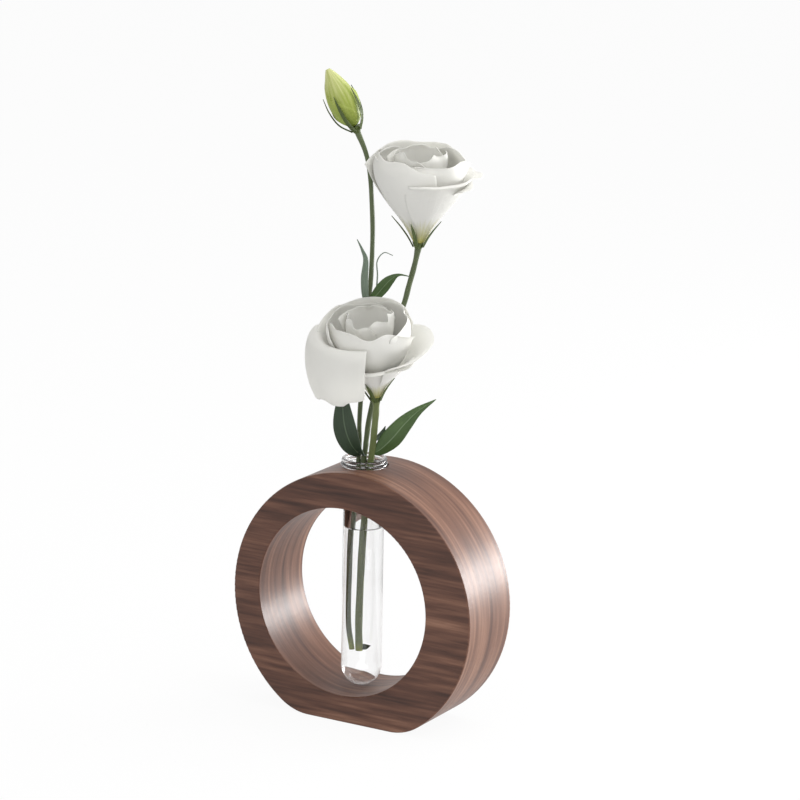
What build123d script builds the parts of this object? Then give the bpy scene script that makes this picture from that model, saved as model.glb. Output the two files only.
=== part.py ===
from build123d import *
import math
import os

# Test tube vase: a ring of solid walnut on a flat foot, a glass test tube that hangs by its rim
# in a bore through the ring's crown, water, and a spray of white lisianthus.
# The origin is on the table under the ring's centre. X is the ring's width, Y runs through the
# window from front to back, and Z is up. All lengths are in millimetres. A value whose name ends
# in share or shares is a proportion of the size that it is multiplied by.

# Wooden ring
ring_radius = 75.0
ring_wall = 21.9
ring_depth = 45.5
foot_cut = 8.3
foot_corner_radius = 30.0
window_shift_left = 5.6
window_shift_up = 1.4
wood_edge_radius = 0.8
seat_depth = 0.6

# Test tube
tube_radius = 11.25
glass_wall = 1.2
bore_clearance = 0.4
tube_floor_gap = 0.6
flange_radius = 13.0
flange_height = 2.2
flange_edge_radius = 0.6
lip_radius = 12.5
lip_height = 2.2
lip_edge_radius = 0.9

# Water
water_drop = 39.0
water_gap = 0.3

# Stems
stem_end_rise = 19.0
spray_height = 177.5
bud_stem_radius = 1.35
upper_stalk_radius = 1.55
lower_stem_radius = 1.8
bend_share = 0.45

# Calyx cups under the blooms and the bud
cup_height = 4.0
cup_radius = 3.3
cup_sink = 0.8
sepal_thickness = 0.5
sepal_width = 1.9

# Blooms and bud, which grow with the spray
lower_bloom_share = 0.2817
upper_bloom_share = 0.2930
bud_share = 0.1915
petal_thickness = 0.5
style_radius = 0.7
stigma_radius = 1.6
style_share = 0.5
least_cup_share = 0.1

# Leaves
leaf_thickness = 0.5
left_leaf_width = 11.4
right_leaf_width = 10.5
small_leaf_width = 2.6
node_leaf_width = 3.6
curled_leaf_width = 2.4
side_leaf_width = 6.0
stub_leaf_width = 3.2

# The spray faces the side that the vase is looked at from, this many degrees about the tube's axis
spray_turn = 31.0

# Places that follow from the sizes above
overrun = ring_depth
window_radius = ring_radius - ring_wall
foot_drop = ring_radius - foot_cut
tube_x = -window_shift_left
window_centre_z = foot_drop + window_shift_up
window_floor_z = window_centre_z - window_radius
crown_z = foot_drop + math.sqrt(ring_radius**2 - window_shift_left**2)
seat_z = crown_z - seat_depth
mouth_z = seat_z + flange_height + lip_height
tube_length = mouth_z - window_floor_z - tube_floor_gap
bore_radius = tube_radius - glass_wall
stem_reach = tube_length - glass_wall - stem_end_rise
lower_bloom_length = lower_bloom_share * spray_height
upper_bloom_length = upper_bloom_share * spray_height
bud_length = bud_share * spray_height

# Stem routes. Inside the tube: right and back as shares of the bore radius, and depth below the
# mouth as a share of the stems' reach. Above it: right, back and up as shares of the spray's height.
bud_stem_tube_shares = [
    (-0.46, 0.12, 1.00), (-0.64, 0.16, 0.84), (-0.61, 0.20, 0.50), (-0.52, 0.26, 0.29),
    (-0.38, 0.36, 0.11),
]
bud_stem_spray_shares = [
    (-0.016, 0.028, 0.035), (-0.017, 0.031, 0.100), (-0.013, 0.038, 0.190), (-0.002, 0.052, 0.360),
    (0.006, 0.062, 0.477), (0.012, 0.068, 0.560), (0.015, 0.068, 0.690), (0.010, 0.068, 0.800),
    (0.003, 0.068, 0.880), (-0.011, 0.068, 0.940), (-0.036, 0.068, 1.000),
]
upper_stalk_tube_shares = [(-0.37, 0.36, 0.13), (-0.10, 0.28, 0.05)]
upper_stalk_spray_shares = [
    (0.003, 0.014, 0.028), (0.006, 0.020, 0.060), (0.017, 0.031, 0.138), (0.052, 0.052, 0.280),
    (0.085, 0.060, 0.390), (0.114, 0.062, 0.472), (0.128, 0.056, 0.530), (0.144, 0.045, 0.597),
    (0.154, 0.034, 0.653),
]
lower_stem_tube_shares = [
    (-0.12, -0.09, 1.00), (-0.15, -0.12, 0.83), (-0.06, -0.10, 0.50), (0.05, -0.11, 0.29),
    (0.24, -0.17, 0.09),
]
lower_stem_spray_shares = [
    (0.023, -0.014, 0.020), (0.028, -0.028, 0.085), (0.033, -0.040, 0.155), (0.033, -0.045, 0.190),
]

# Leaves: each row is right, back and up as shares of the spray's height, then the width as a
# share of the leaf's own width. The first row lies on the stem that carries the leaf.
left_leaf_shares = [
    (0.002, 0.014, 0.010, 0.20), (-0.014, -0.003, 0.012, 0.42), (-0.042, -0.022, 0.048, 0.86),
    (-0.062, -0.034, 0.108, 1.00), (-0.069, -0.031, 0.178, 0.60), (-0.067, -0.023, 0.238, 0.08),
]
right_leaf_shares = [
    (0.024, -0.018, 0.020, 0.22), (0.046, -0.021, 0.030, 0.64), (0.082, -0.025, 0.066, 1.00),
    (0.121, -0.021, 0.113, 0.82), (0.163, -0.011, 0.153, 0.42), (0.216, 0.000, 0.187, 0.06),
]
small_leaf_shares = [
    (0.028, -0.024, 0.062, 0.60), (0.043, -0.010, 0.068, 1.00), (0.054, -0.003, 0.080, 0.90),
    (0.063, 0.003, 0.100, 0.24),
]
node_leaf_shares = [
    (0.006, 0.062, 0.479), (-0.004, 0.053, 0.496), (-0.008, 0.050, 0.552), (-0.005, 0.050, 0.608),
    (-0.016, 0.048, 0.640), (-0.032, 0.045, 0.673),
]
node_leaf_width_shares = [0.40, 0.92, 1.00, 0.70, 0.38, 0.14]
curled_leaf_shares = [
    (0.007, 0.063, 0.480), (0.024, 0.073, 0.496), (0.030, 0.077, 0.552), (0.029, 0.077, 0.600),
    (0.050, 0.076, 0.627), (0.078, 0.073, 0.619),
]
curled_leaf_width_shares = [0.60, 1.00, 1.00, 0.68, 0.38, 0.20]
side_leaf_shares = [
    (0.007, 0.061, 0.480, 0.25), (0.026, 0.050, 0.496, 0.80), (0.047, 0.043, 0.523, 1.00),
    (0.069, 0.037, 0.549, 0.76), (0.096, 0.034, 0.567, 0.30), (0.132, 0.032, 0.563, 0.07),
]
stub_leaf_shares = [(-0.12, -0.09, 0.975, 0.40), (0.15, -0.10, 0.980, 1.00), (0.43, -0.06, 0.976, 0.14)]

# Petals: each row is the distance from the bloom's axis and the height above the cup, as shares
# of the bloom's length, then how much of the petal's half angle it fills there.
goblet_shares = [
    (0.058, 0.00, 0.80), (0.160, 0.20, 0.92), (0.340, 0.44, 1.00), (0.470, 0.66, 1.00),
    (0.510, 0.86, 0.86), (0.470, 0.98, 0.46),
]
middle_shares = [
    (0.042, 0.00, 0.55), (0.120, 0.22, 0.90), (0.270, 0.46, 1.00), (0.360, 0.68, 1.00),
    (0.370, 0.88, 0.86), (0.330, 1.00, 0.46),
]
heart_shares = [
    (0.020, 0.00, 0.42), (0.070, 0.24, 0.84), (0.150, 0.46, 1.00), (0.220, 0.66, 1.00),
    (0.220, 0.84, 0.86), (0.170, 0.95, 0.46),
]
flare_shares = [
    (0.058, 0.00, 0.80), (0.170, 0.18, 0.92), (0.340, 0.37, 1.00), (0.500, 0.55, 1.00),
    (0.600, 0.67, 0.80), (0.650, 0.73, 0.40),
]
droop_shares = [
    (0.058, 0.00, 0.80), (0.170, 0.20, 0.92), (0.340, 0.40, 1.00), (0.480, 0.46, 0.97),
    (0.600, 0.42, 0.80), (0.680, 0.32, 0.42),
]
fold_shares = [
    (0.058, 0.00, 0.80), (0.165, 0.19, 0.92), (0.320, 0.40, 1.00), (0.440, 0.53, 0.96),
    (0.520, 0.54, 0.70),
]
bud_petal_shares = [
    (0.070, 0.00, 0.80), (0.190, 0.16, 1.00), (0.245, 0.38, 1.00), (0.215, 0.66, 1.00),
    (0.120, 0.88, 0.96), (0.040, 1.00, 0.70),
]
sepal_shares = [(0.050, -0.04), (0.120, 0.06), (0.200, 0.16), (0.300, 0.27)]
bud_sepal_shares = [(0.075, -0.06), (0.225, 0.12), (0.295, 0.36), (0.285, 0.60)]
sepal_width_shares = [0.80, 1.00, 0.80, 0.30]

# Half the angle that one petal takes about its bloom's axis
outer_half_angle = 40.0
ring_of_three_half_angle = 54.0

# The way that each bloom looks: right, back and up
lower_bloom_lean_shares = (-0.10, -0.22, 1.00)
upper_bloom_lean_shares = (0.00, -0.12, 1.00)
bud_lean_shares = (-0.44, 0.00, 0.90)


def make_ring():
    # A disc with a flat foot, an off-centre window, softened edges and the tube's bore and seat
    disc = Circle(ring_radius) & Pos(0, ring_radius - foot_drop) * Rectangle(
        2 * ring_radius, 2 * ring_radius
    )
    disc = fillet(disc.vertices(), foot_corner_radius)
    outline = disc - Pos(-window_shift_left, window_shift_up) * Circle(window_radius)
    ring = extrude(Plane.XZ * Pos(0, foot_drop) * outline, amount=ring_depth / 2, both=True)
    ring = fillet(ring.faces().filter_by(Axis.Y).edges(), wood_edge_radius)
    upward = (Align.CENTER, Align.CENTER, Align.MIN)
    bore = Cylinder(tube_radius + bore_clearance, ring_radius, align=upward)
    seat = Cylinder(flange_radius + bore_clearance, overrun, align=upward)
    ring -= Pos(tube_x, 0, window_centre_z) * bore
    return ring - Pos(tube_x, 0, seat_z) * seat


def round_bottomed(radius, bottom, top):
    # A cylinder from a half-round bottom up to a flat top, about the tube's axis
    upward = (Align.CENTER, Align.CENTER, Align.MIN)
    barrel = Cylinder(radius, top - bottom - radius, align=upward)
    return Pos(0, 0, bottom + radius) * (barrel + Sphere(radius))


def make_tube():
    # The glass, with its mouth at height zero: barrel, seating flange and rolled lip
    downward = (Align.CENTER, Align.CENTER, Align.MAX)
    glass = round_bottomed(tube_radius, -tube_length, 0)
    lip = Cylinder(lip_radius, lip_height, align=downward)
    flange = Cylinder(flange_radius, flange_height, align=downward)
    glass += fillet(lip.edges(), lip_edge_radius)
    glass += Pos(0, 0, -lip_height) * fillet(flange.edges(), flange_edge_radius)
    return glass - round_bottomed(bore_radius, glass_wall - tube_length, overrun)


def make_water(solids_in_it):
    water = round_bottomed(bore_radius, glass_wall - tube_length, -water_drop)
    for solid in solids_in_it:
        water -= solid
    return water


def route(tube_shares, spray_shares):
    inside = [Vector(a * bore_radius, b * bore_radius, -c * stem_reach) for a, b, c in tube_shares]
    outside = [Vector(a, b, c) * spray_height for a, b, c in spray_shares]
    return inside + outside


def stem_along(points, radius):
    # Straight runs joined by tangent arcs, each as large as its two runs allow
    runs = [after - before for before, after in zip(points, points[1:])]
    bends = []
    for before, after in zip(runs, runs[1:]):
        half_turn = math.radians(before.get_angle(after)) / 2
        bends.append(bend_share * min(before.length, after.length) / math.tan(half_turn))
    path = FilletPolyline(*points, radius=bends)
    return sweep(Plane(origin=path @ 0, z_dir=path % 0) * Circle(radius), path=path)


def crescent(width, sag, thickness):
    # A thin curved strip: its ends lie sag above its middle
    half = width / 2
    low = ThreePointArc((-half, sag), (0, 0), (half, sag))
    high = ThreePointArc((half, sag + thickness), (0, thickness), (-half, sag + thickness))
    return make_face([low, Line(low @ 1, high @ 0), high, Line(high @ 1, low @ 0)])


def directions_along(points):
    # The direction of the path at each point, from its neighbours on both sides
    after = points[1:] + points[-1:]
    before = points[:1] + points[:-1]
    return [(b - a).normalized() for a, b in zip(before, after)]


def petal(length, azimuth, half_angle, rows):
    # A petal that wraps round the bloom's axis, lofted from its claw to its rim
    angle = math.radians(azimuth)
    outward = Vector(math.cos(angle), math.sin(angle), 0)
    across = Vector(-math.sin(angle), math.cos(angle), 0)
    points = [outward * (out * length) + Vector(0, 0, up * length) for out, up, fill in rows]
    sections = []
    for (out, up, fill), point, way in zip(rows, points, directions_along(points)):
        spread = math.radians(half_angle * fill)
        width = 2 * out * length * math.sin(spread)
        sag = out * length * (1 - math.cos(spread)) * max(way.Z, least_cup_share)
        section = crescent(width, sag, petal_thickness)
        sections.append(Plane(origin=point, x_dir=across, z_dir=way) * section)
    return loft(sections)


def leaf(points, width, width_shares, facing, thickness=leaf_thickness):
    # A leaf along its midrib. Facing is the way that its blade's width runs.
    sections = []
    for point, way, share in zip(points, directions_along(points), width_shares):
        across = (facing - way * facing.dot(way)).normalized()
        strip = Rectangle(width * share, thickness)
        sections.append(Plane(origin=point, x_dir=across, z_dir=way) * strip)
    return loft(sections)


def spray_points(rows):
    return [Vector(*row[:3]) * spray_height for row in rows]


def widths(rows):
    return [row[3] for row in rows]


def flower_plane(base, lean_shares):
    way = Vector(*lean_shares).normalized()
    return Plane(origin=base, x_dir=(1, 0, 0), z_dir=way)


def make_calyx(length, stem_radius, rows, azimuths):
    # A small green cup with narrow sepals, its top at height zero
    downward = (Align.CENTER, Align.CENTER, Align.MAX)
    calyx = Cone(stem_radius, cup_radius, cup_height, align=downward)
    for azimuth in azimuths:
        angle = math.radians(azimuth)
        outward = Vector(math.cos(angle), math.sin(angle), 0)
        across = Vector(-math.sin(angle), math.cos(angle), 0)
        points = [outward * (out * length) + Vector(0, 0, up * length) for out, up in rows]
        calyx += leaf(points, sepal_width, sepal_width_shares, across, sepal_thickness)
    return calyx


def make_pistil(length):
    # An upright style with a round stigma, on the cup inside the petals
    upward = (Align.CENTER, Align.CENTER, Align.MIN)
    style = Cylinder(style_radius, length * style_share, align=upward)
    return style + Pos(0, 0, length * style_share) * Sphere(stigma_radius)


def flower(name, length, points, stem, stem_radius, lean, petals, sepals, sepal_azimuths):
    # Every piece of one flower, on the end of its stem
    way = Vector(*lean).normalized()
    plane = flower_plane(points[-1] + way * (cup_height - cup_sink), lean)
    pieces = {}
    calyx = plane * make_calyx(length, stem_radius, sepals, sepal_azimuths)
    pieces[name + "_calyx"] = calyx - stem
    for number, (azimuth, half_angle, rows) in enumerate(petals, start=1):
        piece = plane * petal(length, azimuth, half_angle, rows)
        pieces[f"{name}_petal_{number}"] = piece - calyx
    return pieces, plane


# The stems
bud_points = route(bud_stem_tube_shares, bud_stem_spray_shares)
upper_points = route(upper_stalk_tube_shares, upper_stalk_spray_shares)
lower_points = route(lower_stem_tube_shares, lower_stem_spray_shares)
bud_stem = stem_along(bud_points, bud_stem_radius)
upper_stalk = stem_along(upper_points, upper_stalk_radius) - bud_stem
lower_stem = stem_along(lower_points, lower_stem_radius)
stems = [bud_stem, upper_stalk, lower_stem]

# The leaves
to_the_right = Vector(1, 0, 0)
up_to_the_left = Vector(-1, 0, 1)
towards_the_back = Vector(0, 1, 0)
stub_points = route([row[:3] for row in stub_leaf_shares], [])
leaves = {
    "left_leaf": leaf(
        spray_points(left_leaf_shares), left_leaf_width, widths(left_leaf_shares), to_the_right
    ),
    "right_leaf": leaf(
        spray_points(right_leaf_shares), right_leaf_width, widths(right_leaf_shares), up_to_the_left
    ),
    "small_leaf": leaf(
        spray_points(small_leaf_shares), small_leaf_width, widths(small_leaf_shares), up_to_the_left
    ),
    "node_leaf": leaf(
        spray_points(node_leaf_shares), node_leaf_width, node_leaf_width_shares, to_the_right
    ),
    "curled_leaf": leaf(
        spray_points(curled_leaf_shares), curled_leaf_width, curled_leaf_width_shares,
        towards_the_back
    ),
    "side_leaf": leaf(
        spray_points(side_leaf_shares), side_leaf_width, widths(side_leaf_shares), up_to_the_left
    ),
    "stub_leaf": leaf(stub_points, stub_leaf_width, widths(stub_leaf_shares), towards_the_back),
}
for leaf_name in leaves:
    for one_stem in stems:
        leaves[leaf_name] -= one_stem

# The flowers: each petal is its azimuth from the right hand, its half angle and its form
lower_petals = [
    (190, outer_half_angle, droop_shares),
    (280, outer_half_angle, fold_shares),
    (10, outer_half_angle, flare_shares),
    (100, outer_half_angle, goblet_shares),
]
upper_petals = [(azimuth, outer_half_angle, goblet_shares) for azimuth in (170, 260, 350, 80)]
inner_petals = [(azimuth, ring_of_three_half_angle, middle_shares) for azimuth in (30, 150, 270)]
inner_petals += [(azimuth, ring_of_three_half_angle, heart_shares) for azimuth in (90, 210, 330)]
bud_petals = [(azimuth, ring_of_three_half_angle, bud_petal_shares) for azimuth in (30, 150, 270)]
five_sepals = [180 + 72 * count for count in range(5)]

lower_pieces, lower_plane = flower(
    "lower_bloom", lower_bloom_length, lower_points, lower_stem, lower_stem_radius,
    lower_bloom_lean_shares, lower_petals + inner_petals, sepal_shares, five_sepals
)
upper_pieces, upper_plane = flower(
    "upper_bloom", upper_bloom_length, upper_points, upper_stalk, upper_stalk_radius,
    upper_bloom_lean_shares, upper_petals + inner_petals, sepal_shares, five_sepals
)
bud_pieces, bud_plane = flower(
    "bud", bud_length, bud_points, bud_stem, bud_stem_radius,
    bud_lean_shares, bud_petals, bud_sepal_shares, five_sepals
)
lower_pieces["lower_bloom_pistil"] = lower_plane * make_pistil(lower_bloom_length)
upper_pieces["upper_bloom_pistil"] = upper_plane * make_pistil(upper_bloom_length)

# The water stands clear of what is in it by a film, so that the spray lifts out
room_for_stems = [
    stem_along(bud_points, bud_stem_radius + water_gap),
    stem_along(lower_points, lower_stem_radius + water_gap),
    leaf(
        stub_points, stub_leaf_width + 2 * water_gap, widths(stub_leaf_shares), towards_the_back,
        leaf_thickness + 2 * water_gap
    ),
]

# Everything in its place: the tube and its water, then the spray, turned to face the viewer
at_mouth = Pos(tube_x, 0, mouth_z)
turned = at_mouth * Rot(0, 0, spray_turn)
nodes = {"wood_ring": make_ring(), "glass_tube": at_mouth * make_tube()}
nodes["water"] = turned * make_water(room_for_stems)
spray = {"bud_stem": bud_stem, "upper_bloom_stalk": upper_stalk, "lower_bloom_stem": lower_stem}
for group in (leaves, lower_pieces, upper_pieces, bud_pieces):
    spray.update(group)
for node_name, solid in spray.items():
    nodes[node_name] = turned * solid

os.makedirs("parts", exist_ok=True)
for node_name, solid in nodes.items():
    export_step(solid, f"parts/{node_name}.step")
print(len(nodes), "nodes, mouth at", round(mouth_z, 2), "and tube length", round(tube_length, 2))
print("stems reach", round(stem_reach, 2), "below the mouth, and the seat is at", round(seat_z, 2))
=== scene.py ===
# %% [markdown]
# # A walnut ring vase with a test tube and a lisianthus spray
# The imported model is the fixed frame: the wooden ring, the glass, the water and the flowers each
# have a place in it. This lesson dresses that frame. Wood is a matter of shading, glass is a
# matter of closed clean surfaces, and petals are a matter of shape, so each gets its own way.

import math

import bpy
import numpy as np
from mathutils import Matrix, Vector


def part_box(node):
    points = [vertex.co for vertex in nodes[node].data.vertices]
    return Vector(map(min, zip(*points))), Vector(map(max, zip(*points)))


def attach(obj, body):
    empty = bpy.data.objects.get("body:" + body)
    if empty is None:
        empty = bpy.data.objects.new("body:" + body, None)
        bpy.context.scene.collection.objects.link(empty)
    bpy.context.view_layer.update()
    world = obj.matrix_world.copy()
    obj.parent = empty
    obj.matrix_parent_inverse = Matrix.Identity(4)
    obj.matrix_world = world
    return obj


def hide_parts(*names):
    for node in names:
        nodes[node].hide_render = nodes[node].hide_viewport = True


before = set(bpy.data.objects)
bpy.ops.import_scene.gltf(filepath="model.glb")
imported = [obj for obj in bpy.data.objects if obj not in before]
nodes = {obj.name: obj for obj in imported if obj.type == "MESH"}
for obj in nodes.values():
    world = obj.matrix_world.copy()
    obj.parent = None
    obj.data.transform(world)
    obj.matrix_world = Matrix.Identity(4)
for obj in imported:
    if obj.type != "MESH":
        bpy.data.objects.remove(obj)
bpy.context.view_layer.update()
print("pieces in the frame:", len(nodes))

# %% [markdown]
# ## Where everything hangs
# The tube is the backbone: the flowers stand in its mouth and turn with the side that the vase is
# looked at from. Its box gives the axis, the mouth and the length, so no place is typed twice.

# %% Places from the frame
MM = 0.001
tube_low, tube_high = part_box("glass_tube")
water_low, water_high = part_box("water")
tube_axis_x = (tube_low.x + tube_high.x) / 2
mouth_z = tube_high.z
tube_length = tube_high.z - tube_low.z
water_top = water_high.z - mouth_z
spray_turn = math.radians(31.0)
spray_height = 177.5 * MM
print("mouth", round(mouth_z, 4), "tube length", round(tube_length, 4))


def to_row(points):
    """Turns points about the tube's axis by the spray's turn, then lifts them to the mouth."""
    c, s = math.cos(spray_turn), math.sin(spray_turn)
    x = points[..., 0] * c - points[..., 1] * s + tube_axis_x
    y = points[..., 0] * s + points[..., 1] * c
    return np.stack([x, y, points[..., 2] + mouth_z], axis=-1)


# %% [markdown]
# ## The camera
# The photograph's camera was solved from the ring: its outline, its window and its foot fix the
# direction, and the ring's size fixes the distance. A long lens keeps the ring's two faces parallel.

# %% Camera
camera_place = Vector((0.9534, -1.5980, 0.6467))
camera_yaw = math.radians(30.39)
camera_pitch = math.radians(14.12)
camera_roll = math.radians(1.0)
photo_width = 800
focal_pixels = 3540.5
sensor_width = 36.0


def aim_camera():
    """Builds the camera's axes: look along yaw and pitch, then roll about the line of sight."""
    ahead = Vector((
        -math.sin(camera_yaw) * math.cos(camera_pitch),
        math.cos(camera_yaw) * math.cos(camera_pitch),
        -math.sin(camera_pitch),
    ))
    right = ahead.cross(Vector((0, 0, 1))).normalized()
    up = right.cross(ahead)
    c, s = math.cos(camera_roll), math.sin(camera_roll)
    right, up = c * right + s * up, -s * right + c * up
    data = bpy.data.cameras.new("photo_camera")
    data.sensor_width = sensor_width
    data.lens = focal_pixels * sensor_width / photo_width
    camera = bpy.data.objects.new("photo_camera", data)
    axes = Matrix((right, up, -ahead)).transposed()
    camera.matrix_world = Matrix.Translation(camera_place) @ axes.to_4x4()
    bpy.context.scene.collection.objects.link(camera)
    bpy.context.scene.camera = camera
    print("lens", round(data.lens, 1), "mm")


aim_camera()

# %% [markdown]
# ## Writing shader maths as expressions
# A shader is a formula over the surface. One small class wraps a socket and overloads the
# arithmetic signs, so a formula reads as a formula. Every other node comes from one method.

# %% Shader helpers
class Wire:
    """A socket that can be added, subtracted, multiplied, divided and raised."""

    def __init__(self, finish, socket):
        self.finish = finish
        self.socket = socket

    def combine(self, operation, first, second):
        return self.finish.add(
            "ShaderNodeMath", {0: first, 1: second}, {"operation": operation}
        )

    def __add__(self, other):
        return self.combine("ADD", self, other)

    __radd__ = __add__

    def __sub__(self, other):
        return self.combine("SUBTRACT", self, other)

    def __rsub__(self, other):
        return self.combine("SUBTRACT", other, self)

    def __mul__(self, other):
        return self.combine("MULTIPLY", self, other)

    __rmul__ = __mul__

    def __truediv__(self, other):
        return self.combine("DIVIDE", self, other)

    def __rtruediv__(self, other):
        return self.combine("DIVIDE", other, self)

    def __pow__(self, other):
        return self.combine("POWER", self, other)


class Finish:
    """A material, built node by node."""

    def __init__(self, name, tree=None):
        if tree is None:
            self.material = bpy.data.materials.new(name)
            self.material.use_nodes = True
            tree = self.material.node_tree
        tree.nodes.clear()
        self.tree = tree

    def add(self, kind, sockets=None, settings=None, out=0):
        """Adds a node, sets it up, feeds its sockets and returns one of its outputs."""
        node = self.tree.nodes.new(kind)
        for key, value in (settings or {}).items():
            if key == "stops":
                self.set_stops(node.color_ramp, value)
            else:
                setattr(node, key, value)
        for key, value in (sockets or {}).items():
            if isinstance(value, Wire):
                self.tree.links.new(value.socket, node.inputs[key])
            else:
                node.inputs[key].default_value = value
        return Wire(self, node.outputs[out]) if len(node.outputs) else None

    def output(self, wire, name):
        """Another output of the node that a wire comes from."""
        return Wire(self, wire.socket.node.outputs[name])

    def set_stops(self, ramp, stops):
        while len(ramp.elements) < len(stops):
            ramp.elements.new(1.0)
        for element, (place, colour) in zip(ramp.elements, stops):
            element.position = place
            element.color = (*colour, 1.0)

    def noise(self, where, scale, detail=3.0, out=0):
        sockets = {"Vector": where, "Scale": scale, "Detail": detail}
        return self.add("ShaderNodeTexNoise", sockets, out=out)

    def ramp(self, value, stops):
        return self.add("ShaderNodeValToRGB", {"Fac": value}, {"stops": stops})

    def stretch(self, where, scale):
        return self.add("ShaderNodeMapping", {"Vector": where, "Scale": scale})

    def mix(self, factor, first, second, blend="MIX"):
        settings = {"data_type": "RGBA", "blend_type": blend}
        return self.add("ShaderNodeMix", {0: factor, 6: first, 7: second}, settings, out=2)

    def limit(self, value):
        return self.add("ShaderNodeClamp", {"Value": value})

    def bump(self, height, depth, strength=1.0):
        sockets = {"Height": height, "Distance": depth, "Strength": strength}
        return self.add("ShaderNodeBump", sockets)

    def surface(self, shader):
        self.add("ShaderNodeOutputMaterial", {"Surface": shader})
        return self.material


def rgba(red, green, blue):
    return (red, green, blue, 1.0)


# %% [markdown]
# ## Walnut
# The ring is cut from one thick board. Its growth layers are stacked through the ring's depth, so
# they draw long flowing lines round the curved faces, while its fibres run along the ring's width
# and draw fine level streaks on the front. Each is a solid pattern in space, as in a real board,
# and a thin band at the edges of the flat faces blends one into the other. The flat faces are also
# set darker than the curved ones: partly the face grain's own tone, partly painted shade. A thin
# satin lacquer lies on top.

# %% Walnut finish
ring_low, ring_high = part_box("wood_ring")
half_depth = (ring_high.y - ring_low.y) / 2
edge_band = 0.7 * MM
fibre_stretch = (24.0, 300.0, 430.0)
streak_stretch = (11.0, 150.0, 210.0)
band_stretch = (8.0, 30.0, 75.0)
layer_stretch = (13.0, 330.0, 13.0)
broad_layer_stretch = (9.0, 95.0, 9.0)
pore_stretch = (95.0, 2600.0, 3000.0)


def walnut():
    f = Finish("walnut")
    where = f.add("ShaderNodeTexCoord", out="Object")
    split = f.add("ShaderNodeSeparateXYZ", {"Vector": where})
    off_middle = f.add("ShaderNodeMath", {0: f.output(split, "Y")}, {"operation": "ABSOLUTE"})
    on_face = f.limit((off_middle - (half_depth - edge_band)) / edge_band)
    fibres = f.noise(f.stretch(where, fibre_stretch), 1.0, 4.0)
    streaks = f.noise(f.stretch(where, streak_stretch), 1.0, 3.0)
    bands = f.noise(f.stretch(where, band_stretch), 1.0, 2.0)
    layers = f.noise(f.stretch(where, layer_stretch), 1.0, 4.0)
    broad_layers = f.noise(f.stretch(where, broad_layer_stretch), 1.0, 3.0)
    pores = f.noise(f.stretch(where, pore_stretch), 1.0, 2.0)
    # The flat faces' tone is offset lower than the curved faces': partly the face grain's own darker
    # tone, partly painted shade.
    front_grain_and_shade = fibres * 0.85 + streaks * 0.75 + bands * 0.6 - 0.70
    on_curve = layers * 1.1 + broad_layers * 1.0 - 0.50
    tone = front_grain_and_shade * on_face + on_curve * (1.0 - on_face)
    colour = f.ramp(tone, [
        (0.08, (0.034, 0.013, 0.008)),
        (0.36, (0.090, 0.037, 0.023)),
        (0.58, (0.158, 0.072, 0.045)),
        (0.95, (0.320, 0.170, 0.110)),
    ])
    pits = f.ramp(pores, [(0.30, (0.6, 0.55, 0.52)), (0.42, (1.0, 1.0, 1.0))])
    colour = f.mix(0.6, colour, pits, "MULTIPLY")
    height = fibres * on_face + layers * (1.0 - on_face) + pores * 0.5
    shader = f.add("ShaderNodeBsdfPrincipled", {
        "Base Color": colour,
        "Roughness": f.limit(0.62 - fibres * 0.18),
        "Specular IOR Level": 0.22,
        "Coat Weight": 0.30,
        "Coat Roughness": 0.33,
        "Normal": f.bump(height, 0.10 * MM, 0.4),
    })
    return f.surface(shader)


def dress(node_name, material):
    """Gives a piece of the frame its finish, in every slot that it has."""
    mesh = nodes[node_name].data
    if not mesh.materials:
        mesh.materials.append(material)
    for number in range(len(mesh.materials)):
        mesh.materials[number] = material


dress("wood_ring", walnut())
print("ring dressed")

# %% [markdown]
# ## Surfaces from arrays
# Every new piece is a grid of points, worked out for all rows and columns at once. One helper
# makes the mesh: it joins a grid round on itself where the piece is round, caps what is open if
# asked, and keeps a UV map with the first direction in U and the second in V.

# %% Grid helper
def grid_piece(name, points, material, body, replaced=(), round_piece=False, capped=False):
    """Quads between neighbouring rows and columns; a round piece also joins its last column."""
    rows, columns = points.shape[:2]
    index = np.arange(rows * columns).reshape(rows, columns)
    right = np.roll(index, -1, axis=1) if round_piece else index[:, 1:]
    left = index if round_piece else index[:, :-1]
    quads = np.stack([left[:-1], right[:-1], right[1:], left[1:]], axis=-1).reshape(-1, 4)
    faces = quads.tolist()
    if capped:
        faces.append(index[0, ::-1].tolist())
        faces.append(index[-1].tolist())
    mesh = bpy.data.meshes.new(name)
    mesh.from_pydata(to_row(points).reshape(-1, 3), [], faces)
    across = np.linspace(0, 1, columns)
    along = np.linspace(0, 1, rows)
    grid_u, grid_v = np.meshgrid(across, along)
    corner = np.empty(len(mesh.loops), dtype=np.int32)
    mesh.loops.foreach_get("vertex_index", corner)
    flat = np.stack([grid_u.ravel()[corner], grid_v.ravel()[corner]], axis=-1)
    mesh.uv_layers.new(name="UVMap").data.foreach_set("uv", flat.ravel())
    mesh.polygons.foreach_set("use_smooth", np.ones(len(mesh.polygons), dtype=bool))
    mesh.materials.append(material)
    piece = bpy.data.objects.new(name, mesh)
    bpy.context.scene.collection.objects.link(piece)
    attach(piece, body)
    if replaced:
        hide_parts(*replaced)
    return piece


def thicken(piece, thickness):
    wall = piece.modifiers.new("wall", "SOLIDIFY")
    wall.thickness = thickness
    wall.offset = 0.0
    wall.use_rim = True
    return piece


def smooth_through(knots, count):
    """A curve through given rows: between two knots a cubic takes its slopes from both sides."""
    knots = np.asarray(knots, dtype=float)
    place = np.linspace(0, len(knots) - 1, count)
    start = np.minimum(place.astype(int), len(knots) - 2)
    t = (place - start)[:, None]
    slopes = np.gradient(knots, axis=0)
    a, b = knots[start], knots[start + 1]
    da, db = slopes[start], slopes[start + 1]
    hermite = (2 * t**3 - 3 * t**2 + 1) * a + (t**3 - 2 * t**2 + t) * da
    return hermite + (3 * t**2 - 2 * t**3) * b + (t**3 - t**2) * db


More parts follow.
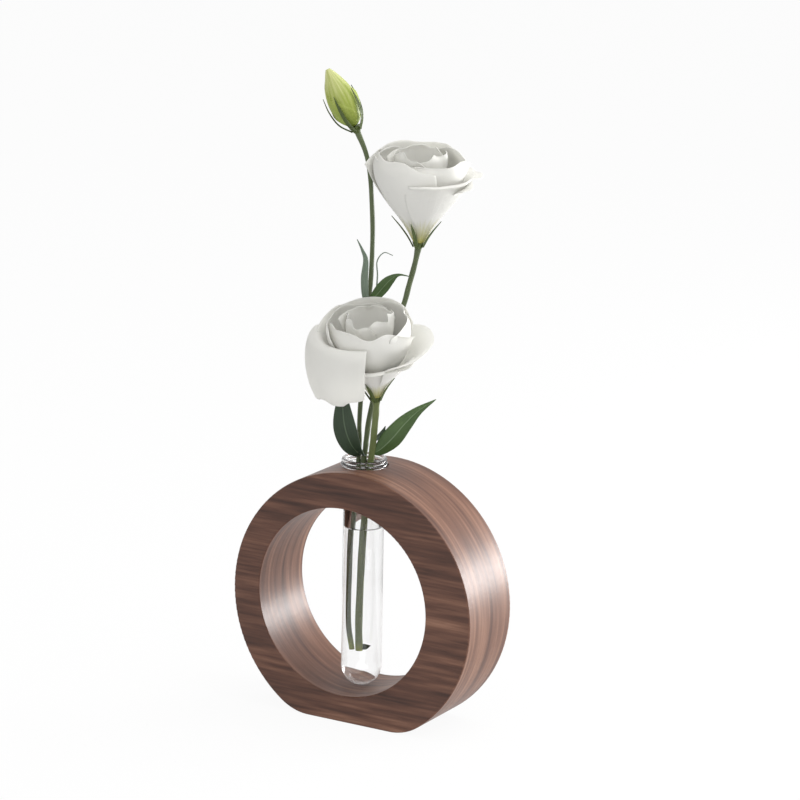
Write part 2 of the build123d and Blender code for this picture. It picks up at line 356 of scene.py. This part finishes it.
# %% [markdown]
# ## The glass and the water
# A test tube is a profile spun round its axis: barrel, half-round bottom, a seating flange and a
# rolled lip. Glass only looks right as one closed wall with an inside and an outside. The water is
# a second closed body that reaches a hair into the wall, and its top climbs the glass a little.
# The photographed tube hardly bends what stands behind it, so the water bends less than real water.

# %% Tube and water
tube_radius = 11.25 * MM
glass_wall = 1.2 * MM
flange_radius = 13.0 * MM
flange_height = 2.2 * MM
lip_radius = 12.5 * MM
lip_height = 2.2 * MM
round_steps = 128


def quarter(radius, centre_z, steps=24):
    """A quarter circle from the pole below the centre out to the side."""
    angle = np.linspace(0, math.pi / 2, steps)
    return np.stack([radius * np.sin(angle), centre_z - radius * np.cos(angle)], axis=-1)


def bead(outer, low, high, steps=14):
    """The outer half of a rolled edge: a half ellipse between two heights."""
    angle = np.linspace(-math.pi / 2, math.pi / 2, steps)
    reach = outer - tube_radius
    middle, half = (low + high) / 2, (high - low) / 2
    return np.stack([tube_radius + reach * np.cos(angle) ** 0.6, middle + half * np.sin(angle)], axis=-1)


def spun(profile):
    """Spins rows of radius and height round the tube's axis."""
    turn = np.linspace(0, 2 * math.pi, round_steps, endpoint=False)
    radius, height = profile[:, 0][:, None], profile[:, 1][:, None]
    flat = np.ones_like(turn)[None, :]
    return np.stack([radius * np.cos(turn), radius * np.sin(turn), height * flat], axis=-1)


def clear(name, ior, colour):
    f = Finish(name)
    shader = f.add("ShaderNodeBsdfPrincipled", {
        "Base Color": colour,
        "Roughness": 0.0,
        "IOR": ior,
        "Transmission Weight": 1.0,
    })
    return f.surface(shader)


def glass_profile():
    outside = quarter(tube_radius, -tube_length + tube_radius)
    flange = bead(flange_radius, -lip_height - flange_height, -lip_height)
    lip = bead(lip_radius, -lip_height, 0)
    inner = tube_radius - glass_wall
    inside = quarter(inner, -tube_length + tube_radius)[::-1]
    rolled = np.array([[tube_radius, 0.0], [inner + 0.2 * MM, -0.15 * MM], [inner, -0.8 * MM]])
    return np.concatenate([outside, flange, lip, rolled[1:], inside])


def water_profile():
    reach = tube_radius - glass_wall + 0.1 * MM
    bottom = quarter(reach, -tube_length + tube_radius)
    out = np.linspace(1.0, 0.0, 24)[:, None]
    climb = 1.4 * MM * np.exp(-(1 - out) * 9.0)
    top = np.concatenate([out * reach, water_top + climb], axis=1)
    return np.concatenate([bottom, top])


glass = clear("tube_glass", 1.47, rgba(1.0, 1.0, 1.0))
water = clear("water", 1.13, rgba(1.0, 1.0, 1.0))
tube_piece = grid_piece(
    "test_tube", spun(glass_profile()), glass, "tube", ["glass_tube"], True
)
water_piece = grid_piece(
    "tube_water", spun(water_profile()), water, "tube", ["water"], True
)


def close_poles(piece, reach):
    """Merges the points that meet on the axis, so the poles are closed."""
    import bmesh
    work = bmesh.new()
    work.from_mesh(piece.data)
    bmesh.ops.remove_doubles(work, verts=work.verts, dist=reach)
    bmesh.ops.recalc_face_normals(work, faces=work.faces)
    work.to_mesh(piece.data)
    work.free()


for round_bottomed in (tube_piece, water_piece):
    close_poles(round_bottomed, 0.001 * MM)
print("glass faces", len(tube_piece.data.polygons))

# %% [markdown]
# ## Living green
# Stems, leaves and sepals share a way: a dark waxy green that turns lighter where it is young,
# with fine lines along the piece. The lines follow the UV map, so they run with each leaf.

# %% Green finishes
def green(name, dark, light, rib=None, gloss=0.42, cut_end=None):
    f = Finish(name)
    uv = f.add("ShaderNodeTexCoord", out="UV")
    split = f.add("ShaderNodeSeparateXYZ", {"Vector": uv})
    across = f.output(split, "X")
    where = f.add("ShaderNodeTexCoord", out="Object")
    lines = f.noise(f.stretch(uv, (46.0, 2.2, 1.0)), 1.0, 3.0)
    cloud = f.noise(where, 90.0, 3.0)
    colour = f.mix(f.limit(lines * 0.7 + cloud * 0.9 - 0.35), rgba(*dark), rgba(*light))
    if rib:
        off_rib = f.add("ShaderNodeMath", {0: across - 0.5}, {"operation": "ABSOLUTE"})
        on_rib = f.limit(1.0 - off_rib * 26.0)
        colour = f.mix(on_rib * 0.75, colour, rgba(*rib))
    if cut_end:
        near_end = f.limit(1.0 - f.output(split, "Y") * 22.0)
        colour = f.mix(near_end * 0.8, colour, rgba(*cut_end))
    shader = f.add("ShaderNodeBsdfPrincipled", {
        "Base Color": colour,
        "Roughness": f.limit(gloss + cloud * 0.15),
        "Specular IOR Level": 0.4,
        "Normal": f.bump(lines, 0.15 * MM, 0.5),
    })
    return f.surface(shader)


cut_yellow = (0.30, 0.34, 0.05)
stem_green = green("stem", (0.050, 0.072, 0.030), (0.135, 0.165, 0.075), cut_end=cut_yellow)
young_stem = green("lower_stem", (0.070, 0.098, 0.026), (0.190, 0.225, 0.080), (0.36, 0.44, 0.22),
                   cut_end=cut_yellow)
dark_leaf = green("left_leaf", (0.018, 0.034, 0.017), (0.042, 0.070, 0.036), (0.12, 0.17, 0.10))
bright_leaf = green("right_leaf", (0.030, 0.070, 0.014), (0.085, 0.145, 0.045), (0.20, 0.27, 0.16))
grey_leaf = green("node_leaf", (0.120, 0.165, 0.120), (0.26, 0.32, 0.25))
sepal_green = green("calyx", (0.035, 0.055, 0.012), (0.11, 0.15, 0.035))

# %% [markdown]
# ## Stems
# A stem is a tube carried along a smooth line. The line passes near the same places as the frame's
# own stems. The frame of each ring is made from the line's direction and a fixed side, which is safe
# because no stem ever points along that side.

# %% Stem routes
bore_radius = tube_radius - glass_wall
stem_end_rise = 19.0 * MM
stem_reach = tube_length - glass_wall - stem_end_rise

bud_stem_tube = [
    (-0.46, 0.12, 1.00), (-0.64, 0.16, 0.84), (-0.61, 0.20, 0.50), (-0.52, 0.26, 0.29),
    (-0.38, 0.36, 0.11),
]
bud_stem_spray = [
    (-0.016, 0.028, 0.035), (-0.017, 0.031, 0.100), (-0.013, 0.038, 0.190), (-0.002, 0.052, 0.360),
    (0.006, 0.062, 0.477), (0.012, 0.068, 0.560), (0.015, 0.068, 0.690), (0.010, 0.068, 0.800),
    (0.003, 0.068, 0.880), (-0.011, 0.068, 0.940), (-0.036, 0.068, 1.000),
]
upper_stalk_tube = [(-0.37, 0.36, 0.13), (-0.10, 0.28, 0.05)]
upper_stalk_spray = [
    (0.003, 0.014, 0.028), (0.006, 0.020, 0.060), (0.017, 0.031, 0.138), (0.052, 0.052, 0.280),
    (0.085, 0.060, 0.390), (0.114, 0.062, 0.472), (0.128, 0.056, 0.530), (0.144, 0.045, 0.597),
    (0.154, 0.034, 0.653),
]
lower_stem_tube = [
    (-0.12, -0.09, 1.00), (-0.15, -0.12, 0.83), (-0.06, -0.10, 0.50), (0.05, -0.11, 0.29),
    (0.24, -0.17, 0.09),
]
lower_stem_spray = [
    (0.023, -0.014, 0.020), (0.028, -0.028, 0.085), (0.033, -0.040, 0.155), (0.033, -0.045, 0.190),
]


def route(inside, outside):
    """In the tube places are shares of the bore and the reach; above it, of the spray's height."""
    low = np.array(inside, dtype=float).reshape(-1, 3) * (bore_radius, bore_radius, -stem_reach)
    high = np.array(outside, dtype=float).reshape(-1, 3) * spray_height
    return np.concatenate([low, high])


def directions(line):
    way = np.gradient(line, axis=0)
    return way / np.linalg.norm(way, axis=-1, keepdims=True)


def unit(vectors):
    return vectors / np.linalg.norm(vectors, axis=-1, keepdims=True)


def stem(name, places, radius, material, replaced, steps=160, sides=20):
    """Circles square to the line; the radius swells a little at its upper end and ripples slightly."""
    line = smooth_through(places, steps)
    way = directions(line)
    side = unit(np.cross(way, np.array([0.0, 1.0, 0.0])))
    back = np.cross(side, way)
    turn = np.linspace(0, 2 * math.pi, sides, endpoint=False)[None, :, None]
    share = np.linspace(0, 1, steps)[:, None, None]
    swell = 1 + 0.25 * np.exp(-((1 - share) / 0.03) ** 2) + 0.03 * np.sin(share * 60)
    ring = np.cos(turn) * side[:, None, :] + np.sin(turn) * back[:, None, :]
    points = line[:, None, :] + radius * swell * ring
    return grid_piece(name, points, material, "spray", replaced, True, True)


bud_places = route(bud_stem_tube, bud_stem_spray)
upper_places = route(upper_stalk_tube, upper_stalk_spray)
lower_places = route(lower_stem_tube, lower_stem_spray)
stem("bud_stem_skin", bud_places, 1.3 * MM, stem_green, ["bud_stem"])
stem("upper_stalk_skin", upper_places, 1.5 * MM, stem_green, ["upper_bloom_stalk"])
stem("lower_stem_skin", lower_places, 1.8 * MM, young_stem, ["lower_bloom_stem"])
print("stems made")

# %% [markdown]
# ## Leaves
# A lisianthus leaf is a long oval folded a little along its midrib, with its tip drawn out. The
# blade is a grid: V runs along the midrib and U runs across, and the fold and a slow wave are
# heights above the flat blade. A thin wall closes it.

# %% Leaf surfaces
def blade(name, rows, width, facing, fold, material, replaced, wave=0.0, thickness=0.35 * MM,
          frame_points=None, steps=60, columns=17):
    """Rows are midrib places and width shares. Across, the blade folds up from its midrib."""
    table = np.array(rows, dtype=float)
    places = table[:, :3] * spray_height if frame_points is None else frame_points
    line = smooth_through(places, steps)
    share = smooth_through(table[:, 3:4], steps)
    way = directions(line)
    facing = np.asarray(facing, dtype=float)
    across = unit(facing - way * (way @ facing)[:, None])
    normal = np.cross(across, way)
    u = np.linspace(-1, 1, columns)[None, :, None]
    v = np.linspace(0, 1, steps)[:, None, None]
    half = 0.5 * width * np.maximum(share, 0.02)[:, :, None]
    lift = fold * half * np.abs(u) ** 1.3 + wave * half * np.sin(v * 9 + u * 2) * np.abs(u)
    points = line[:, None, :] + across[:, None, :] * half * u + normal[:, None, :] * lift
    piece = grid_piece(name, points, material, "spray", replaced)
    return thicken(piece, thickness)


right_hand = (1.0, 0.0, 0.0)
up_left = (-1.0, 0.0, 1.0)
to_back = (0.0, 1.0, 0.0)
left_leaf_rows = [
    (0.002, 0.014, 0.010, 0.20), (-0.014, -0.003, 0.012, 0.42), (-0.042, -0.022, 0.048, 0.86),
    (-0.062, -0.034, 0.108, 1.00), (-0.069, -0.031, 0.178, 0.60), (-0.067, -0.023, 0.238, 0.03),
]
right_leaf_rows = [
    (0.024, -0.018, 0.020, 0.22), (0.046, -0.021, 0.030, 0.64), (0.082, -0.025, 0.066, 1.00),
    (0.121, -0.021, 0.113, 0.82), (0.163, -0.011, 0.153, 0.42), (0.216, 0.000, 0.187, 0.03),
]
small_leaf_rows = [
    (0.028, -0.024, 0.062, 0.60), (0.043, -0.010, 0.068, 1.00), (0.054, -0.003, 0.080, 0.90),
    (0.063, 0.003, 0.100, 0.10),
]
node_leaf_rows = [
    (0.006, 0.062, 0.479, 0.40), (-0.004, 0.053, 0.496, 0.92), (-0.008, 0.050, 0.552, 1.00),
    (-0.005, 0.050, 0.608, 0.70), (-0.016, 0.048, 0.640, 0.36), (-0.032, 0.045, 0.673, 0.08),
]
curled_leaf_rows = [
    (0.007, 0.063, 0.480, 0.60), (0.024, 0.073, 0.496, 1.00), (0.030, 0.077, 0.552, 1.00),
    (0.029, 0.077, 0.600, 0.64), (0.050, 0.076, 0.627, 0.30), (0.078, 0.073, 0.619, 0.10),
]
side_leaf_rows = [
    (0.007, 0.061, 0.480, 0.25), (0.026, 0.050, 0.496, 0.80), (0.047, 0.043, 0.523, 1.00),
    (0.069, 0.037, 0.549, 0.76), (0.096, 0.034, 0.567, 0.22), (0.132, 0.032, 0.563, 0.04),
]
stub_leaf_rows = [(-0.12, -0.09, 0.975, 0.40), (0.15, -0.10, 0.980, 1.00), (0.43, -0.06, 0.976, 0.06)]
stub_places = route([row[:3] for row in stub_leaf_rows], [])

blade("left_leaf_blade", left_leaf_rows, 12.2 * MM, right_hand, 0.28, dark_leaf, ["left_leaf"], 0.04)
blade("right_leaf_blade", right_leaf_rows, 11.0 * MM, up_left, 0.30, bright_leaf, ["right_leaf"], 0.05)
blade("small_leaf_blade", small_leaf_rows, 2.8 * MM, up_left, 0.2, dark_leaf, ["small_leaf"])
blade("node_leaf_blade", node_leaf_rows, 3.8 * MM, right_hand, 0.5, grey_leaf, ["node_leaf"])
blade("curled_leaf_blade", curled_leaf_rows, 2.6 * MM, to_back, 0.4, grey_leaf, ["curled_leaf"])
blade("side_leaf_blade", side_leaf_rows, 6.6 * MM, up_left, 0.3, bright_leaf, ["side_leaf"], 0.05)
blade(
    "stub_leaf_blade", stub_leaf_rows, 3.4 * MM, (0.0, 0.6, 0.8), 0.2, dark_leaf, ["stub_leaf"],
    frame_points=stub_places
)
print("leaves made")

# %% [markdown]
# ## Petals
# A petal is a strip wrapped round its bloom's axis. Going up it follows a listed line of distance
# and height; going across it fills an angle. Three things make it a petal and not a funnel: its
# corners are rounded by shortening the strip towards its edges, one edge tucks under the next
# petal, and its rim ruffles and rolls outward.

# %% Petal finish
def petal_white(name, base, claw, reach, tint=(0.90, 0.895, 0.865)):
    f = Finish(name)
    uv = f.add("ShaderNodeTexCoord", out="UV")
    split = f.add("ShaderNodeSeparateXYZ", {"Vector": uv})
    along = f.output(split, "Y")
    veins = f.noise(f.stretch(uv, (34.0, 1.1, 1.0)), 1.0, 3.0)
    cloud = f.noise(f.stretch(uv, (3.0, 2.0, 1.0)), 1.0, 2.0)
    fade = f.limit(1.0 - along / reach + (veins - 0.5) * 0.9)
    white = f.mix(f.limit(cloud * 1.2 - 0.2), rgba(*base), rgba(*tint))
    colour = f.mix(fade, white, rgba(*claw))
    skin = f.add("ShaderNodeBsdfPrincipled", {
        "Base Color": colour,
        "Roughness": f.limit(0.55 + veins * 0.15),
        "Specular IOR Level": 0.25,
        "Sheen Weight": 0.15,
        "Normal": f.bump(veins, 0.25 * MM, 0.35),
    })
    glow = f.add("ShaderNodeBsdfTranslucent", {"Color": colour})
    return f.surface(f.add("ShaderNodeMixShader", {0: 0.32, 1: skin, 2: glow}))


outer_white = petal_white("outer_petal", (0.86, 0.855, 0.82), (0.50, 0.48, 0.08), 0.30)
inner_white = petal_white("inner_petal", (0.88, 0.875, 0.84), (0.66, 0.66, 0.30), 0.30)

# %% Petal surfaces
def bloom_axes(base, lean):
    """The bloom looks along its lean; its right hand stays as level as it can."""
    up = np.asarray(lean, dtype=float)
    up = up / np.linalg.norm(up)
    right = np.array([1.0, 0.0, 0.0])
    right = right - up * (right @ up)
    right = right / np.linalg.norm(right)
    return base, right, np.cross(up, right), up


def place_in_bloom(axes, out, angle, height):
    base, right, back, up = axes
    shape = np.broadcast(out, angle, height).shape
    parts = [np.broadcast_to(part, shape)[..., None] for part in (
        out * np.cos(angle), out * np.sin(angle), height
    )]
    return base + parts[0] * right + parts[1] * back + parts[2] * up


def petal(name, axes, length, form, material, replaced, seed, steps=56, columns=64):
    """Distance, height and fill go up the petal; angle goes across; waves grow towards the rim."""
    azimuth, half_angle, rows = form["azimuth"], form["half_angle"], form["rows"]
    draw = np.random.default_rng(seed)
    waves = draw.uniform(0, 2 * math.pi, 4)
    profile = smooth_through(rows, 200)
    u = np.linspace(-1, 1, columns)[None, :]
    v = np.linspace(0, 1, steps)[:, None]
    notch = form.get("notch", 0.03) * np.cos(u * math.pi * 2.5 + waves[0])
    slope = form.get("slope", 0.0) * u * v**2
    reach = v * (1 - form.get("corner", 0.20) * np.abs(u) ** 3.2 - notch * v**2 - slope)
    reach = np.clip(reach, 0.0, 1.0)
    row_place = reach * (len(profile) - 1)
    steps_at = np.arange(len(profile))
    out = np.interp(row_place, steps_at, profile[:, 0])
    height = np.interp(row_place, steps_at, profile[:, 1])
    fill = np.interp(row_place, steps_at, profile[:, 2])
    angle = math.radians(azimuth) + u * math.radians(half_angle) * fill
    angle = angle + form.get("twist", 0.0) * v
    late = v**3
    ruffle = form.get("ruffle", 0.03) * late * (
        np.sin(u * 4.2 + waves[1]) + 0.6 * np.sin(u * 9.1 + waves[2] + v * 2)
    )
    tuck = form.get("tuck", 0.03) * u * v
    curl = form.get("curl", 0.05) * v**7
    out = out + ruffle * 0.8 + tuck + curl
    height = height - curl * 0.8 + 0.5 * ruffle * np.cos(u * 5.0 + waves[3])
    points = place_in_bloom(axes, out * length, angle, height * length)
    piece = grid_piece(name, points, material, "spray", replaced)
    return thicken(piece, 0.3 * MM)


goblet = [(0.050, 0.00, 0.9), (0.160, 0.20, 0.95), (0.330, 0.44, 1.0), (0.455, 0.66, 1.0),
          (0.490, 0.84, 0.96), (0.450, 0.98, 0.92)]
bowl = [(0.040, 0.00, 0.8), (0.150, 0.22, 0.92), (0.320, 0.44, 1.0), (0.425, 0.66, 1.0),
        (0.440, 0.84, 0.97), (0.385, 0.97, 0.92)]
heart = [(0.022, 0.00, 0.8), (0.080, 0.26, 0.92), (0.180, 0.52, 1.0), (0.250, 0.76, 1.0),
         (0.250, 0.92, 0.95), (0.190, 1.02, 0.90)]
flare = [(0.055, 0.00, 0.9), (0.170, 0.17, 0.95), (0.340, 0.34, 1.0), (0.490, 0.49, 1.0),
         (0.600, 0.59, 0.96), (0.655, 0.62, 0.90)]
curl_out = [(0.055, 0.00, 0.9), (0.170, 0.19, 0.95), (0.330, 0.40, 1.0), (0.450, 0.57, 1.0),
            (0.530, 0.68, 0.96), (0.590, 0.72, 0.90)]
droop = [(0.055, 0.00, 0.9), (0.170, 0.24, 0.95), (0.320, 0.48, 1.0), (0.440, 0.69, 1.0),
         (0.540, 0.77, 0.98), (0.635, 0.68, 0.95), (0.665, 0.46, 0.90), (0.635, 0.24, 0.86),
         (0.575, 0.09, 0.74)]
lapel = [(0.055, 0.00, 0.9), (0.170, 0.20, 0.95), (0.345, 0.42, 1.0), (0.465, 0.60, 1.0),
         (0.510, 0.74, 0.95), (0.545, 0.78, 0.90)]
fold = [(0.058, 0.00, 0.9), (0.172, 0.18, 0.95), (0.320, 0.36, 1.0), (0.430, 0.49, 1.0),
        (0.490, 0.54, 0.96)]


def form(azimuth, half_angle, rows, **extra):
    return {"azimuth": azimuth, "half_angle": half_angle, "rows": rows, **extra}


lower_forms = [
    form(210, 58, droop, ruffle=0.012, corner=0.13, tuck=-0.12, curl=0.0),
    form(285, 62, fold, ruffle=0.015, corner=0.14, tuck=0.0, curl=0.05),
    form(350, 64, flare, ruffle=0.02, corner=0.16, curl=0.02),
    form(90, 84, goblet, ruffle=0.03),
    form(15, 80, bowl, ruffle=0.035, corner=0.14), form(140, 80, bowl, ruffle=0.03, corner=0.14),
    form(256, 84, bowl, ruffle=0.025, corner=0.14, slope=0.08),
    form(90, 78, heart), form(210, 78, heart), form(330, 78, heart),
]
upper_forms = [
    form(215, 76, goblet, ruffle=0.012, corner=0.12, slope=0.03, curl=0.0),
    form(318, 68, lapel, ruffle=0.025, corner=0.12, slope=0.28, curl=0.04),
    form(12, 58, curl_out, ruffle=0.05, corner=0.18),
    form(95, 84, goblet, ruffle=0.025),
    form(40, 82, bowl, ruffle=0.03, corner=0.14), form(160, 82, bowl, ruffle=0.03, corner=0.14),
    form(288, 84, bowl, ruffle=0.025, corner=0.14),
    form(90, 78, heart), form(210, 78, heart), form(330, 78, heart),
]
cup_height = 4.0 * MM
cup_radius = 3.3 * MM
cup_sink = 0.8 * MM
outer_count = 4


def bloom(name, base, lean, length, forms, first_seed):
    """All petals of one bloom, each standing for the frame's petal of the same number."""
    way = unit(np.asarray(lean, dtype=float))
    axes = bloom_axes(base + way * (cup_height - cup_sink), lean)
    for number, one in enumerate(forms, start=1):
        material = outer_white if number <= outer_count else inner_white
        petal(
            f"{name}_petal_skin_{number}", axes, length, one, material,
            [f"{name}_petal_{number}"], first_seed + number
        )
    return axes


lower_lean = (-0.10, -0.22, 1.00)
upper_lean = (0.00, -0.12, 1.00)
bud_lean = (-0.44, 0.00, 0.90)
lower_axes = bloom("lower_bloom", lower_places[-1], lower_lean, 50.0 * MM, lower_forms, 10)
upper_axes = bloom("upper_bloom", upper_places[-1], upper_lean, 52.0 * MM, upper_forms, 40)
print("petals made")

# %% [markdown]
# ## Cups and sepals
# Under each bloom a small green cup holds narrow pointed sepals that hug the petals from outside.

# %% Calyx
def calyx(name, axes, stem_radius, length, rows, azimuths, replaced):
    """A cone spun about the bloom's axis, and a thin folded blade for every sepal."""
    turn = np.linspace(0, 2 * math.pi, 32, endpoint=False)[None, :]
    rise = np.linspace(0, 1, 12)[:, None]
    out = stem_radius + (cup_radius - stem_radius) * rise**0.7
    height = cup_height * (rise - 1) + 0.0 * turn
    points = place_in_bloom(axes, out, turn, height)
    grid_piece(f"{name}_cup", points, sepal_green, "spray", replaced, True, True)
    base, right, back, up = axes
    for number, azimuth in enumerate(azimuths, start=1):
        angle = math.radians(azimuth)
        outward = right * math.cos(angle) + back * math.sin(angle)
        across = back * math.cos(angle) - right * math.sin(angle)
        places = np.array([base + outward * a * length + up * b * length for a, b, c in rows])
        table = [(0, 0, 0, c) for a, b, c in rows]
        blade(
            f"{name}_sepal_{number}", table, 2.1 * MM, across, 0.35, sepal_green, (),
            frame_points=places, steps=28, columns=7
        )


sepal_rows = [(0.050, -0.05, 0.9), (0.108, 0.06, 1.0), (0.186, 0.17, 0.8), (0.283, 0.28, 0.1)]
bud_sepal_rows = [(0.070, -0.07, 0.9), (0.215, 0.12, 1.0), (0.270, 0.36, 0.8), (0.270, 0.60, 0.1)]
five_ways = [180 + 72 * count for count in range(5)]
calyx("lower_bloom", lower_axes, 1.8 * MM, 50 * MM, sepal_rows, five_ways, ["lower_bloom_calyx"])
calyx("upper_bloom", upper_axes, 1.55 * MM, 52 * MM, sepal_rows, five_ways, ["upper_bloom_calyx"])

# %% [markdown]
# ## The bud
# A closed bud is a spindle of petals rolled round each other. One surface does it: the radius
# follows the spindle, and a saw-toothed ridge that turns as it climbs marks each petal's edge.

# %% Bud
bud_length = 34.0 * MM
bud_radius = 8.3 * MM
bud_twist = 1.9


def bud_finish():
    f = Finish("bud")
    uv = f.add("ShaderNodeTexCoord", out="UV")
    split = f.add("ShaderNodeSeparateXYZ", {"Vector": uv})
    along = f.output(split, "Y")
    streaks = f.noise(f.stretch(uv, (22.0, 1.3, 1.0)), 1.0, 3.0)
    tone = f.limit(along * 0.55 + streaks * 0.9 - 0.25)
    colour = f.ramp(tone, [
        (0.10, (0.17, 0.24, 0.030)), (0.45, (0.31, 0.37, 0.070)), (0.78, (0.60, 0.62, 0.28)),
        (1.00, (0.82, 0.82, 0.64)),
    ])
    shader = f.add("ShaderNodeBsdfPrincipled", {
        "Base Color": colour,
        "Roughness": 0.5,
        "Specular IOR Level": 0.3,
        "Normal": f.bump(streaks, 0.3 * MM, 0.5),
    })
    return f.surface(shader)


def furled_bud(axes):
    """Radius: a spindle, plus a ridge that rises slowly round the bud and drops at each edge."""
    v = np.linspace(0, 1, 90)[:, None]
    turn = np.linspace(0, 2 * math.pi, 96, endpoint=False)[None, :]
    spindle = bud_radius * np.sin(math.pi * v**0.72 * 0.97) ** 0.85 + 0.25 * MM
    saw = ((turn * 3 / (2 * math.pi) + bud_twist * v) % 1.0)
    ridge = 0.11 * spindle * (saw**2.5) * np.sin(math.pi * v)
    points = place_in_bloom(axes, spindle + ridge - 0.05 * spindle, turn, v * bud_length)
    replaced = ["bud_petal_1", "bud_petal_2", "bud_petal_3"]
    grid_piece("furled_bud", points, bud_finish(), "spray", replaced, True, True)


bud_way = unit(np.asarray(bud_lean, dtype=float))
bud_axes = bloom_axes(bud_places[-1] + bud_way * (cup_height - cup_sink), bud_lean)
furled_bud(bud_axes)
calyx("bud", bud_axes, 1.35 * MM, bud_length, bud_sepal_rows, five_ways, ["bud_calyx"])
for hidden_heart in ("lower_bloom_pistil", "upper_bloom_pistil"):
    dress(hidden_heart, sepal_green)
print("bud made")

# %% [markdown]
# ## Floor and light
# The photograph stands on pure white. The floor shows itself to the camera, to gloss and to glass
# as nearly white, and keeps a faint soft shadow. A broad window behind on the right gives the two
# satin highlights on the ring, a soft box above lights the petals, and a weak fill opens the front.

# %% Stage
floor_glow = 0.93


def background_share(f, camera_share):
    """One for rays that look through gloss or glass, a chosen share for the camera, else none."""
    path = f.add("ShaderNodeLightPath")
    seen = [f.output(path, f"Is {kind} Ray") for kind in ("Camera", "Glossy", "Transmission")]
    return f.limit(seen[0] * camera_share + seen[1] + seen[2])


def white_floor():
    f = Finish("white_floor")
    paint = f.add("ShaderNodeBsdfDiffuse", {"Color": rgba(0.9, 0.9, 0.9)})
    glow = f.add("ShaderNodeEmission", {"Color": rgba(1.0, 1.0, 1.0)})
    share = background_share(f, floor_glow)
    material = f.surface(f.add("ShaderNodeMixShader", {0: share, 1: paint, 2: glow}))
    reach = 9.0
    corners = [(-reach, -reach, 0), (reach, -reach, 0), (reach, reach, 0), (-reach, reach, 0)]
    mesh = bpy.data.meshes.new("floor")
    mesh.from_pydata(corners, [], [(0, 1, 2, 3)])
    mesh.materials.append(material)
    floor = bpy.data.objects.new("floor", mesh)
    bpy.context.scene.collection.objects.link(floor)


def white_world():
    world = bpy.data.worlds.new("studio")
    world.use_nodes = True
    bpy.context.scene.world = world
    f = Finish("studio", world.node_tree)
    ambient = 0.62
    share = background_share(f, 1.0)
    strength = share * (1 - ambient) + ambient
    sky = f.add("ShaderNodeBackground", {"Color": rgba(1.0, 1.0, 1.0), "Strength": strength})
    f.add("ShaderNodeOutputWorld", {"Surface": sky})


def soft_box(name, place, target, size, power):
    data = bpy.data.lights.new(name, "AREA")
    data.shape = "RECTANGLE"
    data.size, data.size_y = size
    data.energy = power
    lamp = bpy.data.objects.new(name, data)
    lamp.location = place
    lamp.rotation_euler = (Vector(target) - Vector(place)).to_track_quat("-Z", "Y").to_euler()
    lamp.visible_camera = False
    bpy.context.scene.collection.objects.link(lamp)


white_floor()
white_world()
soft_box("window_behind", (0.64, 1.02, 0.16), (0, 0, 0.08), (0.62, 0.31), 16.0)
soft_box("overhead", (0.55, 0.15, 1.30), (0, 0, 0.15), (0.9, 0.9), 9.0)
soft_box("front_fill", (0.30, -1.40, 0.80), (0, 0, 0.20), (0.9, 0.9), 4.0)
bpy.context.scene.view_settings.view_transform = "Standard"
